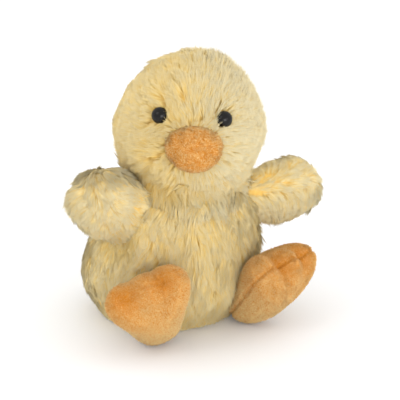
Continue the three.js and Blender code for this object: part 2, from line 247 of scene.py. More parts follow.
def pile_material(name, golden, pale):
    """Pile: colour along the strand for a golden and a pale strand, mixed by the strand's tone.
    The ramps paint shade at the root and light at the tip.
    """
    material, tree, shader = new_material(name, PILE_ROUGHNESS)
    shader.inputs["Specular IOR Level"].default_value = 0
    shader.inputs["Sheen Weight"].default_value = SHEEN_WEIGHT
    shader.inputs["Sheen Roughness"].default_value = SHEEN_ROUGHNESS
    shader.inputs["Sheen Tint"].default_value = SHEEN_TINT
    strand = tree.nodes.new("ShaderNodeUVMap")
    strand.uv_map = "OFBake"
    split = tree.nodes.new("ShaderNodeSeparateXYZ")
    tree.links.new(strand.outputs["UV"], split.inputs["Vector"])
    along, tone = split.outputs["X"], split.outputs["Y"]
    colour = add_mix(tree, tone, add_ramp(tree, along, golden), add_ramp(tree, along, pale))
    tree.links.new(colour, shader.inputs["Base Color"])
    return material


def cloth_material(name, dark, light, scale, depth, roughness=CLOTH_ROUGHNESS):
    """Woven or brushed cloth: two shades mottled by noise, with a bump of the same grain."""
    material, tree, shader = new_material(name, roughness)
    grain = add_noise(tree, scale)
    shade = add_ramp(tree, grain, [(GRAIN_DARK, srgb(*dark)), (GRAIN_LIGHT, srgb(*light))])
    tree.links.new(shade, shader.inputs["Base Color"])
    shader.inputs["Specular IOR Level"].default_value = CLOTH_SHINE
    add_bump(tree, shader, grain, depth)
    return material


def painted_shade_ramp(root, middle, tip):
    """The stops of a ramp along a strand, evenly from root to tip."""
    return [(0.0, srgb(*root)), (0.5, srgb(*middle)), (1.0, srgb(*tip))]


# Painted shade and light: each ramp is darker and more golden at the root, as the shade deep in the pile, and
# paler at the tip, where the light catches it.
PLUSH_GOLD = painted_shade_ramp((226, 172, 74), (241, 203, 114), (246, 220, 152))
PLUSH_PALE = painted_shade_ramp((236, 194, 104), (233, 215, 164), (229, 221, 192))
ORANGE_DEEP = painted_shade_ramp((206, 112, 24), (218, 134, 38), (226, 150, 54))
ORANGE_PALE = painted_shade_ramp((230, 176, 98), (238, 203, 138), (242, 216, 156))
plush_pile = pile_material("plush pile", PLUSH_GOLD, PLUSH_PALE)
orange_pile = pile_material("orange pile", ORANGE_DEEP, ORANGE_PALE)
# Painted shade: the plush skin is golden because it shows only between tufts, where the pile's shade falls.
plush_skin = cloth_material("plush skin", (236, 190, 98), (242, 204, 116), scale=900, depth=0.2 * MM)
orange_skin = cloth_material("orange skin", (230, 158, 78), (240, 178, 102), scale=1400, depth=0.15 * MM)
print("materials", [material.name for material in bpy.data.materials])

# %% [markdown]
# ## Floor and light
# A white sweep and soft light, as in a small photo studio: the surroundings light the toy from all
# sides, a broad low lamp in front models it, and a weak lamp on each side puts a small dot in the eyes.
# The floor keeps the toy's shadow, and a little glow, which is seen but lights nothing, takes its lit
# part to white.

# %% Floor
FLOOR_SIZE = 6.0
FLOOR_DROP = 0.15 * MM
FLOOR_GLOW = 0.05
FLOOR_WHITE = (0.9, 0.9, 0.9, 1)
WHITE = (1, 1, 1, 1)


def add_math(tree, operation, first, second):
    """The output of a maths node on two others."""
    node = tree.nodes.new("ShaderNodeMath")
    node.operation = operation
    tree.links.new(first, node.inputs[0])
    tree.links.new(second, node.inputs[1])
    return node.outputs[0]


def seen_rays(tree):
    """1 for the rays that show the background itself: straight to the camera, mirrored or through glass."""
    path = tree.nodes.new("ShaderNodeLightPath").outputs
    straight = add_math(tree, "MAXIMUM", path["Is Camera Ray"], path["Is Glossy Ray"])
    return add_math(tree, "MAXIMUM", straight, path["Is Transmission Ray"])


def add_floor():
    """A level square of white, wide enough for every view."""
    half = FLOOR_SIZE / 2
    points = np.array([[-half, -half, 0], [half, -half, 0], [half, half, 0], [-half, half, 0]])
    points[:, 2] = -FLOOR_DROP
    material, tree, shader = new_material("floor", 1.0)
    shader.inputs["Base Color"].default_value = FLOOR_WHITE
    shader.inputs["Specular IOR Level"].default_value = 0
    shader.inputs["Emission Color"].default_value = WHITE
    glow = tree.nodes.new("ShaderNodeMath")
    glow.operation = "MULTIPLY"
    glow.inputs[1].default_value = FLOOR_GLOW
    tree.links.new(seen_rays(tree), glow.inputs[0])
    tree.links.new(glow.outputs[0], shader.inputs["Emission Strength"])
    floor = put_mesh("floor", points, np.array([[0, 1, 2], [0, 2, 3]]), material)


add_floor()
print("floor", FLOOR_SIZE, "m wide")

# %% Light
SURROUND = 1.13


def add_world():
    """Even light from all around, and plain white where the background itself is seen."""
    world = bpy.data.worlds.new("studio")
    world.use_nodes = True
    tree = world.node_tree
    background = tree.nodes["Background"]
    background.inputs["Color"].default_value = WHITE
    strength = tree.nodes.new("ShaderNodeMapRange")
    strength.inputs["To Min"].default_value = SURROUND
    strength.inputs["To Max"].default_value = 1.0
    tree.links.new(seen_rays(tree), strength.inputs["Value"])
    tree.links.new(strength.outputs["Result"], background.inputs["Strength"])
    bpy.context.scene.world = world


def add_lamp(name, place, size, watts):
    """A square soft lamp at a place, facing the middle of the toy."""
    data = bpy.data.lights.new(name, "AREA")
    data.size = size
    data.energy = watts
    lamp = bpy.data.objects.new(name, data)
    lamp.location = place
    lamp.rotation_euler = (VIEW_AIM - Vector(place)).to_track_quat("-Z", "Y").to_euler()
    bpy.context.collection.objects.link(lamp)


add_world()
add_lamp("key lamp", (-0.20, -1.08, 0.15), size=0.6, watts=5.0)
add_lamp("left lamp", (-0.50, -0.13, 0.50), size=0.3, watts=0.45)
add_lamp("right lamp", (0.21, -0.59, 0.24), size=0.3, watts=0.25)

# %% [markdown]
# ## The stuffed forms
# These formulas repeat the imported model's forms, so the pile sits where the panels are. The body is a
# leaning pear, the head a ball with a slightly narrowing dome, each wing a pod that swells towards its
# tip, and each foot a padded web with three toes. Every form takes two angles and a swell, the
# distance that it is pushed out or drawn in.

# %% Body form
BODY_PROFILE = np.array([[27, 0], [35.3, 19], [27, 46], [16.5, 64]]) * MM
BODY_FLATNESS = 0.91
BODY_TOP = BODY_PROFILE[-1, 1]
NECK_FORWARD = 17 * MM
LEAN_POWER = 1.8
PROFILE_STEPS = 200


def hermite(start, end, leave, arrive, t):
    """The cubic from start to end that leaves and arrives with the given slopes."""
    bend = 2 * start - 2 * end + leave + arrive
    curve = -3 * start + 3 * end - 2 * leave - arrive
    return bend * t**3 + curve * t**2 + leave * t + start


def body_lean(level):
    """How far the middle of the body has moved back or forward: forward by a power of the height."""
    return -NECK_FORWARD * np.maximum(level / BODY_TOP, 0) ** LEAN_POWER


def body_profile(along):
    """Radius and height along the side, 0 at the base to 1 at the neck: a Catmull-Rom curve."""
    last = len(BODY_PROFILE) - 1
    place = np.clip(along, 0, 1) * last
    here = np.minimum(place.astype(int), last - 1)
    t = (place - here)[..., None]
    points = [BODY_PROFILE[np.clip(here + step, 0, last)] for step in (-1, 0, 1, 2)]
    leave = (points[2] - points[0]) / 2
    arrive = (points[3] - points[1]) / 2
    spot = hermite(points[1], points[2], leave, arrive, t)
    return spot[..., 0], spot[..., 1]


def body_surface(along, longitude, swell=0.0):
    """A pear: the profile carried round a flattened ring, leaning forward as it rises."""
    radius, level = body_profile(along)
    x = (radius + swell) * np.cos(longitude)
    y = (radius * BODY_FLATNESS + swell) * np.sin(longitude) + body_lean(level)
    return np.stack([x, y, level + np.zeros_like(x)], -1)


def body_depth(points):
    """How far inside the body points are: the ring's radius less their own, and less any height above."""
    radius, level = body_profile(np.linspace(0, 1, PROFILE_STEPS))
    ring = np.interp(points[..., 2], level, radius, left=0, right=0)
    across = np.hypot(points[..., 0], (points[..., 1] - body_lean(points[..., 2])) / BODY_FLATNESS)
    return ring - across - np.maximum(points[..., 2] - BODY_TOP, 0)


print("body", round(BODY_TOP / MM), "mm up to the neck")

# %% Head form
HEAD_RADIUS = 28.2 * MM
HEAD_TOP = 27.8 * MM
DOME_TAPER = 0.1
FACE_SEAM = 4 * MM
HEAD_CENTRE = pivots["head_turn"]
HEAD_ROTATION = turn("z", -27) @ turn("y", 4)


def head_place(local):
    """Points in the head's own frame, face at -Y, set where the head sits."""
    return local @ HEAD_ROTATION.T + HEAD_CENTRE


def head_local(points):
    """Points of the toy, in the head's own frame."""
    return (points - HEAD_CENTRE) @ HEAD_ROTATION


def head_surface(latitude, longitude, swell=0.0):
    """A ball whose upper half is a little lower, and narrows towards the top."""
    lift = np.sin(latitude)
    taper = 1 - DOME_TAPER * np.maximum(0, lift)
    radius = (HEAD_RADIUS + swell) * np.cos(latitude) * taper
    level = (np.where(lift < 0, HEAD_RADIUS, HEAD_TOP) + swell) * lift
    x, y = radius * np.cos(longitude), radius * np.sin(longitude)
    return head_place(np.stack([x, y, level + np.zeros_like(x)], -1))


print("head centre", HEAD_CENTRE)

# %% Wing forms
WING_HALF = 38.5 * MM / 2
WING_CHORD = 27 * MM
WING_THICKNESS = 23 * MM
WING_ROOT = 5.5 * MM
WING_SWELL = 0.14
WING_FULLNESS = 0.75
HINGE_DROP = 5 * MM
ROOT_FLARE = 1e-4


def wing_form(joint, heading, lift, roll):
    """A pod round its own X axis: its girth is a power of the cosine, and swells towards the tip."""
    lay = turn("z", heading) @ turn("y", -lift)
    place = pivots[joint] + lay @ np.array([0, 0, HINGE_DROP])
    rotation = lay @ turn("x", roll)

    def surface(latitude, longitude, swell=0.0):
        out = np.sin(latitude)
        girth = np.maximum(np.cos(latitude), 0) ** WING_FULLNESS * (1 + WING_SWELL * out)
        x = WING_HALF - WING_ROOT + (WING_HALF + swell) * out
        y = (WING_THICKNESS / 2 + swell) * girth * np.cos(longitude)
        z = (WING_CHORD / 2 + swell) * girth * np.sin(longitude)
        return np.stack([x + np.zeros_like(y), y, z], -1) @ rotation.T + place

    def local(points):
        return (points - place) @ rotation

    return surface, local, rotation[:, 0]


def wing_depth(points, local):
    """How far inside a wing points are: the mean half girth times one less the scaled radius there."""
    x, y, z = np.moveaxis(local(points), -1, 0)
    out = np.clip((x - WING_HALF + WING_ROOT) / WING_HALF, -1, 1)
    girth = np.maximum(1 - out**2, ROOT_FLARE) ** (WING_FULLNESS / 2) * (1 + WING_SWELL * out)
    radius = np.hypot(y / (WING_THICKNESS / 2), z / (WING_CHORD / 2))
    return (girth - radius) * (WING_CHORD + WING_THICKNESS) / 4


left_wing_surface, left_wing_local, left_wing_way = wing_form(
    "left_wing_flap", heading=-15, lift=11, roll=15)
right_wing_surface, right_wing_local, right_wing_way = wing_form(
    "right_wing_flap", heading=199, lift=44, roll=-25)
print("wing ways", left_wing_way.round(2), right_wing_way.round(2))

# %% Foot outline
FOOT_LENGTH = 28.5 * MM
HEEL_RADIUS = 9.5 * MM
TOE_HALF = 31 * MM / 2
TOE_ROUND = 6 * MM
WEB_DEPTH = 2.4 * MM
WEB_PLACE = 0.42
OUTER_TOE_PLACE = 0.8
OUTER_TOE_DROP = 1 * MM


def foot_outline(share):
    """The foot's edge seen from above, as (x, z): a closed centripetal Catmull-Rom curve, heel to toes."""
    side = np.array([
        [0, FOOT_LENGTH],
        [TOE_HALF * WEB_PLACE, FOOT_LENGTH - WEB_DEPTH],
        [TOE_HALF * OUTER_TOE_PLACE, FOOT_LENGTH - OUTER_TOE_DROP],
        [TOE_HALF, FOOT_LENGTH - TOE_ROUND],
        [(TOE_HALF + HEEL_RADIUS) / 2, (FOOT_LENGTH - TOE_ROUND) / 2],
        [HEEL_RADIUS, 0],
        [HEEL_RADIUS * np.sqrt(0.5), -HEEL_RADIUS * np.sqrt(0.5)],
        [0, -HEEL_RADIUS],
    ])
    knots = np.concatenate([side, side[-2:0:-1] * [-1, 1]])
    place = np.mod(share, 1) * len(knots)
    here = place.astype(int)
    t = (place - here)[..., None]
    p = [knots[(here + step) % len(knots)] for step in (-1, 0, 1, 2)]
    gap = [np.sqrt(np.linalg.norm(p[k + 1] - p[k], axis=-1))[..., None] for k in range(3)]
    leave = (p[1] - p[0]) / gap[0] - (p[2] - p[0]) / (gap[0] + gap[1]) + (p[2] - p[1]) / gap[1]
    arrive = (p[2] - p[1]) / gap[1] - (p[3] - p[1]) / (gap[1] + gap[2]) + (p[3] - p[2]) / gap[2]
    return hermite(p[1], p[2], leave * gap[1], arrive * gap[1], t)


print("foot", round((FOOT_LENGTH + HEEL_RADIUS) / MM), "by", round(2 * TOE_HALF / MM), "mm")

# %% Foot forms
FOOT_THICKNESS = 21 * MM
FOOT_MIDDLE = FOOT_LENGTH / 3


def foot_form(joint, heading, lean, roll):
    """A padded web: the outline shrinks by the cosine as the thickness rises by the sine."""
    place = pivots[joint]
    rotation = turn("z", heading) @ turn("x", lean) @ turn("y", roll)

    def surface(latitude, longitude, swell=0.0):
        edge = foot_outline(longitude / TAU) - np.array([0, FOOT_MIDDLE])
        reach = np.linalg.norm(edge, axis=-1)
        plan = edge * (np.cos(latitude) * (reach + swell) / reach)[..., None]
        thick = (FOOT_THICKNESS / 2 + swell) * np.sin(latitude)
        local = np.stack([plan[..., 0], thick + np.zeros_like(reach), plan[..., 1] + FOOT_MIDDLE], -1)
        return local @ rotation.T + place

    def local(points):
        return (points - place) @ rotation

    return surface, local, rotation[:, 2]


def foot_depth(points, local):
    """How far inside a foot points are: half the thickness times one less the scaled radius."""
    spot = local(points)
    across = np.hypot(spot[..., 0] / TOE_HALF, (spot[..., 2] - FOOT_MIDDLE) / (FOOT_LENGTH - FOOT_MIDDLE))
    return FOOT_THICKNESS / 2 * (1 - np.hypot(across, spot[..., 1] / (FOOT_THICKNESS / 2)))


left_foot = foot_form("left_foot_flex", heading=20, lean=42, roll=0)
right_foot = foot_form("right_foot_flex", heading=0, lean=36, roll=-25)
left_foot_local, right_foot_local = left_foot[1], right_foot[1]
print("foot ways", left_foot[2].round(2), right_foot[2].round(2))

# %% [markdown]
# ## Corners
# Where a stuffed limb is sewn on, its cloth and the body's are drawn into one soft corner, and there is
# no sharp valley between two balls. A modelling program would fillet it. Here each coat is simply pushed
# out near its neighbour, most where they meet and less with the distance. The collar under the head is
# uneven, and low lumps all over keep the coats from looking turned on a lathe.

# %% Steps and waves
WAVES = 6


def bell(distance, width):
    """1 at no distance, falling away on both sides over a width."""
    return np.exp(-((distance / width) ** 2))


def ramp_up(value, start, end):
    """0 before start, 1 after end, and a smooth step between."""
    t = np.clip((value - start) / (end - start), 0, 1)
    return t * t * (3 - 2 * t)


def ripple(points, wavelength, seed):
    """Soft noise from about -1 to 1: the sum of a few sine waves in random directions."""
    rng = np.random.default_rng(seed)
    ways = unit(rng.normal(size=(WAVES, 3)))
    starts = rng.uniform(0, TAU, WAVES)
    return np.sin(points @ ways.T * TAU / wavelength + starts).sum(-1) / np.sqrt(WAVES)


# %% Corners and lumps
FILLET_DEPTH = 3.2 * MM
FILLET_WIDTH = 4.5 * MM
LUMP_HEIGHT = 0.3 * MM
LUMP_SIZE = 10 * MM
LUMP_STRETCH = np.array([1, 1, 0.6])
SEEDS = {
    "body lumps": 3, "head lumps": 4, "wing lumps": 5, "collar": 6, "chin": 7, "head": 11, "body": 23,
    "left wing": 31, "right wing": 41, "bill": 53, "left foot": 61, "right foot": 71,
}


def fillet(outside, size=1.0):
    """How far a coat bulges beside a neighbour: the full depth where they meet, fading with distance."""
    return FILLET_DEPTH * size * np.exp(-np.maximum(outside, 0) / (FILLET_WIDTH * size))


def lumps(points, seed):
    """Low humps and hollows, as brushing leaves them: waves that run longer upright than across."""
    return LUMP_HEIGHT * ripple(points * LUMP_STRETCH, LUMP_SIZE, seed)


print("corner", FILLET_DEPTH / MM, "mm deep,", FILLET_WIDTH / MM, "mm wide")

# %% Body and head coats
COLLAR_SIZE = 0.5
COLLAR_SWAY = 0.8
COLLAR_LEAST = 0.4
COLLAR_WAVE = 11 * MM
CHIN_SIZE = 0.75
CREASE_SIZES = {"left": 0.7, "right": 1.6}
CREASE_FRONT = (12 * MM, 26 * MM)
CREASE_CLEAR = 4 * MM
FACE_LUMPS = 0.3
CHEEK_LUMPS = 0.5
CHEEK_SIDE = (-16 * MM, 8 * MM)
CHEEK_LOW = (6 * MM, 14 * MM)


def body_coat(along, longitude, swell=0.0):
    """The pear with soft corners towards the head and, in front, towards the wings."""
    bare = body_surface(along, longitude)
    outside = np.linalg.norm(bare - HEAD_CENTRE, axis=-1) - HEAD_RADIUS
    sway = np.maximum(1 + COLLAR_SWAY * ripple(bare, COLLAR_WAVE, SEEDS["collar"]), COLLAR_LEAST)
    corner = fillet(outside, COLLAR_SIZE) * sway
    front = ramp_up(-bare[..., 1], *CREASE_FRONT)
    clear = ramp_up(outside, 0, CREASE_CLEAR)
    for side, local in (("left", left_wing_local), ("right", right_wing_local)):
        crease = fillet(-wing_depth(bare, local), CREASE_SIZES[side])
        corner = np.maximum(corner, crease * front * clear)
    return body_surface(along, longitude, swell + corner + lumps(bare, SEEDS["body lumps"]))


def head_coat(latitude, longitude, swell=0.0):
    """The ball with a soft corner towards the body, and more lumps on its right and below."""
    bare = head_surface(latitude, longitude)
    corner = fillet(-body_depth(bare), CHIN_SIZE)
    x, _, z = np.moveaxis(head_local(bare), -1, 0)
    rough = ramp_up(-x, *CHEEK_SIDE) + ramp_up(-z, *CHEEK_LOW)
    uneven = (FACE_LUMPS + CHEEK_LUMPS * rough) * lumps(bare, SEEDS["head lumps"])
    return head_surface(latitude, longitude, swell + corner + uneven)


print("collar", round(COLLAR_SIZE * FILLET_DEPTH / MM, 1), "mm deep")

# %% Wing coats
SLEEVE_SIZE = 1.5
WING_TRIM = 0.3 * MM
ROOT_TRIM = 1.0 * MM
BELOW_ROOT = (-0.5, 0.5)
ABOVE_ROOT = (-0.3, 0.4)


def wing_coat(surface, chest, slim_tip, slim_top):
    """A pod, trimmed a little below its root, with a soft corner on the side that faces the chest.

    chest is the longitude of that side, in degrees. The corner fades from it by the square of the cosine.
    slim_tip is the share of the trim that goes on below the tip, slim_top the share taken above the root.
    """
    def coat(latitude, longitude, swell=0.0):
        facing = np.maximum(np.cos(longitude - np.radians(chest)), 0) ** 2
        bare = surface(latitude, longitude)
        corner = fillet(-body_depth(bare), SLEEVE_SIZE) * facing + lumps(bare, SEEDS["wing lumps"])
        below = np.maximum(-np.sin(longitude), 0) * np.maximum(ramp_up(-latitude, *BELOW_ROOT), slim_tip)
        above = slim_top * np.maximum(np.sin(longitude), 0) * ramp_up(-latitude, *ABOVE_ROOT)
        return surface(latitude, longitude, swell + corner - WING_TRIM - ROOT_TRIM * (below + above))

    return coat


left_wing_coat = wing_coat(left_wing_surface, chest=135, slim_tip=1.0, slim_top=0.3)
right_wing_coat = wing_coat(right_wing_surface, chest=45, slim_tip=0.0, slim_top=1.0)
print("sleeve", round(SLEEVE_SIZE * FILLET_DEPTH / MM, 1), "mm deep")

# %% [markdown]
# ## Skins
# Under the pile lies the knitted backing, drawn tight over the stuffing. It shows only between tufts,
# and its golden colour is painted shade there, so plain closed grids are enough. Where the head nests in
# the neck, the body's skin is pressed back onto the ball of the head, as the real cloth is.

# %% Skins
SKIN_DEPTH = 1.6 * MM
NEST_GAP = 0.6 * MM
SKIN_LIFT = 0.3 * MM
SKIN_ROWS = 72
SKIN_AROUND = 144
CAP_ROWS = 12


def grid(first, last):
    """Two angles on a grid: rows from first to last, and once round, without its end."""
    rows = np.linspace(first, last, SKIN_ROWS)
    around = np.linspace(0, TAU, SKIN_AROUND, endpoint=False)
    return np.meshgrid(rows, around, indexing="ij")


def body_skin_rows():
    """The pear drawn in, with a flat floor, a closed top, and the nest of the head pressed into it."""
    along, longitude = grid(0, 1)
    side = body_coat(along, longitude, -SKIN_DEPTH)
    side[..., 2] = np.maximum(side[..., 2], SKIN_LIFT)
    low = side[:1].mean(1, keepdims=True)
    high = side[-1:].mean(1, keepdims=True)
    caps = np.linspace(0, 1, CAP_ROWS)[:, None, None]
    floor = low + (side[:1] - low) * caps[:-1]
    roof = high + (side[-1:] - high) * caps[::-1][1:]
    rows = np.concatenate([floor, side, roof])
    away = rows - HEAD_CENTRE
    distance = np.linalg.norm(away, axis=-1, keepdims=True)
    nest = HEAD_RADIUS - SKIN_DEPTH + NEST_GAP
    return np.where(distance < nest, HEAD_CENTRE + unit(away) * nest, rows)


def ball_rows(surface, swell):
    """A form drawn in or pushed out, from one pole to the other."""
    latitude, longitude = grid(-np.pi / 2, np.pi / 2)
    return surface(latitude, longitude, swell)


def add_skin(name, rows):
    """A padded skin in the plush material's slot."""
    piece = put_mesh(name, *closed_rows(rows), plush_skin)
    return piece


body_skin = add_skin("body_skin", body_skin_rows())
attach(body_skin, "body")
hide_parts("body_base")
head_skin = add_skin("head_skin", ball_rows(head_coat, -SKIN_DEPTH))
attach(head_skin, "head")
print("skins", len(body_skin.data.polygons), len(head_skin.data.polygons))

# %% [markdown]
# ## Pile
# Hair particles look fine in a render but can't be exported, so each strand here is a tiny bent sliver
# of four triangles. Real pile lies in tufts, and handling draws neighbouring tufts into clumps. So clump
# centres are spread evenly over a form first and tuft centres after them. Strands are scattered round
# each tuft, and their tips are pulled towards the tuft's own tip and then towards its clump's. Small gaps
# part the coat here and there, and the strands in them are painted golden, as painted shade in the depth.

# %% Spreading tufts
GOLDEN_SHARE = (np.sqrt(5) - 1) / 2
SPREAD_ROWS = 240
SPREAD_AROUND = 90
ANGLE_STEP = 1e-4


def surface_frame(surface, first, second):
    """Points, outward normals and the two tangents of a form, by small steps along its angles."""
    step = ANGLE_STEP
    point = surface(first, second)
    north = (surface(first + step, second) - surface(first - step, second)) / (2 * step)
    east = (surface(first, second + step) - surface(first, second - step)) / (2 * step)
    return point, unit(np.cross(east, north)), north, east


def spread(surface, first, last, spacing, rng):
    """Centres about one spacing apart: rows by equal area, and round by the golden share."""
    rows = np.linspace(first, last, SPREAD_ROWS + 2)[1:-1]
    around = np.linspace(0, TAU, SPREAD_AROUND, endpoint=False)
    _, _, north, east = surface_frame(surface, *np.meshgrid(rows, around, indexing="ij"))
    area = np.linalg.norm(np.cross(north, east), axis=-1).mean(1) * TAU * (rows[1] - rows[0])
    count = int(area.sum() / spacing**2)
    share = (np.arange(count) + rng.uniform(0, 1, count)) / count
    latitude = np.interp(share, np.cumsum(area) / area.sum(), rows)
    longitude = TAU * np.mod(np.arange(count) * GOLDEN_SHARE, 1)
    return latitude, longitude


def nearest(points, centres):
    """The number of the centre nearest to each point, from the squares of their distances."""
    return np.argmin((centres**2).sum(-1) - 2 * points @ centres.T, axis=1)


# %% Slivers
SOFT_SHADE = 0.85


def strand_mesh(root, middle, tip, width, tone, normal):
    """Bent slivers with four corners and four sides: the root, two ends of a crossbar, and the tip.

    The crossbar's ends swap sides under a strand that sags, so that every sliver keeps its faces outwards.
    u runs from 0 at the root to 1 at the tip, v is the tone. The normals are mixed from the sliver's
    own and the panel's, so that the coat shades softly, as fibres far thinner than these do.
    """
    count = len(root)
    way = unit(tip - root)
    side = unit(np.cross(way, normal))
    bow = middle - root
    bow = bow - (bow * way).sum(-1, keepdims=True) * way
    arched = (bow * normal).sum(-1) > 0
    half = side * (np.where(arched, width, -width) / 2)[:, None]
    points = np.stack([root, middle - half, middle + half, tip], 1)
    faces = np.array([[0, 2, 1], [3, 1, 2], [0, 1, 3], [0, 3, 2]])
    triangles = (faces + 4 * np.arange(count)[:, None, None]).reshape(-1, 3)
    along = np.tile([0, 0.5, 0.5, 1.0], (count, 1))
    uv = np.stack([along, np.repeat(tone[:, None], 4, 1)], -1).reshape(-1, 2)
    edge = unit(half)
    own = np.stack([normal, unit(normal - edge), unit(normal + edge), unit(way + normal)], 1)
    soft = unit(own * (1 - SOFT_SHADE) + normal[:, None] * SOFT_SHADE)
    return points.reshape(-1, 3), triangles, uv, soft.reshape(-1, 3)


# %% Nap
ROOT_DEPTH = 1.1 * SKIN_DEPTH


@dataclass
class Nap:
    """How a coat's pile stands: sizes in metres, pulls as shares, swings in radians.
    """

    length: float
    rise: float
    radius: float
    depth: float = ROOT_DEPTH
    clump: float = 2.5 * MM
    spacing: float = 1.4 * MM
    strands: int = 28
    gather: float = 0.35
    draw: float = 0.18
    wander: float = 0.3
    stray: float = 0.17
    width: float = 0.19 * MM
    bend: float = 0.44
    tone_vary: float = 0.11
    patchy: float = 0.035
    patch: float = 9 * MM

    def __post_init__(self):
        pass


print("full pile", "rooted", round(ROOT_DEPTH / MM, 2), "mm deep")

# %% Clumps
CLUMP_VARY = {"swing": 0.7, "length": 0.13, "rise": 0.05}
DRAW_VARY = (0.6, 1.3)
DRAW_MOST = 0.95


def tangent(vectors, normals):
    """What is left of vectors when their part along the normals is taken away, at unit length."""
    return unit(vectors - (vectors * normals).sum(-1, keepdims=True) * normals)


def lay_clumps(surface, first, last, nap, groom, rng, seed):
    """Clumps as a table of arrays: where each stands, how it lies, and how far it pulls its tufts in.

    groom gives, at each place, the way that the nap is brushed and its tone, as factors its length, rise,
    draw and wander, and the chance of a gap. Waves and chance vary each clump about that.
    """
    centre, normal, _, _ = surface_frame(surface, *spread(surface, first, last, nap.clump, rng))
    count = len(centre)
    style = {"length": 1.0, "rise": 1.0, "draw": 1.0, "wander": 1.0, "gap": 0.0}
    style.update(groom(centre, normal))
    way = tangent(style["way"], normal)
    side = np.cross(normal, way)
    swing = ripple(centre, nap.patch, seed) + rng.normal(0, CLUMP_VARY["swing"], count)
    swing = nap.wander * style["wander"] * swing
    way = way * np.cos(swing)[:, None] + side * np.sin(swing)[:, None]
    return {
        "centre": centre, "normal": normal, "way": way, "side": np.cross(normal, way),
        "length": nap.length * style["length"] * (1 + rng.normal(0, CLUMP_VARY["length"], count)),
        "rise": nap.rise * style["rise"] * (1 + rng.normal(0, CLUMP_VARY["rise"], count)),
        "draw": np.clip(nap.draw * style["draw"] * rng.uniform(*DRAW_VARY, count), 0, DRAW_MOST),
        "tone": style["tone"] + rng.normal(0, nap.patchy, count),
        "gap": rng.uniform(0, 1, count) < style["gap"],
    }


# %% Gaps
GAP_LONG = 2.0 * MM
GAP_WIDE = 0.4 * MM
GAP_PUSH = 0.2 * MM
GAP_SINK = 0.6 * MM
GAP_SHADE = 0.75
GAP_MIDDLE = {"push": 0.6, "sink": 0.5}


def open_gaps(coat, place, way, side):
    """Parts the coat at the gap nearest to each strand, in short streaks that are partly sunk and partly painted
    shade.

    Round each gap a bell along the way and a narrower one across it give a weight to the strands whose
    outer halves lie there. By that weight they move sideways and sink, and their tone turns golden, as painted
    shade.
    """
    offset = (coat["middle"] + coat["tip"]) / 2 - place
    across = (offset * side).sum(-1)
    weight = bell((offset * way).sum(-1), GAP_LONG) * bell(across, GAP_WIDE)
    push = (np.sign(across) * GAP_PUSH * weight)[:, None] * side
    sink = (GAP_SINK * weight)[:, None] * coat["normal"]
    coat["tip"] += push - sink
    coat["middle"] += GAP_MIDDLE["push"] * push - GAP_MIDDLE["sink"] * sink
    # Painted shade: the strands in a gap are made golden, as the shade deep in the pile.
    coat["tone"] -= GAP_SHADE * weight


print("gaps", GAP_LONG / MM, "by", GAP_WIDE / MM, "mm")

# %% Combing tufts
TUFT_VARY = {"swing": 0.15, "length": 0.08, "rise": 0.04}
STRAND_VARY = {"length": 0.11, "rise": 0.07}
WIDTH_VARY = (0.8, 1.2)
SCATTER = 0.72
BEND_ALONG = 0.4
MIDDLE_DRAW = 0.5
LOOSE_SHARE = 0.1
LOOSE_PULL = 0.2
LOOSE_RISE = 1.4
SEEN_ALONG = 0.7
GOLDEN_STRANDS = 0.14
GOLDEN_DROP = 0.5


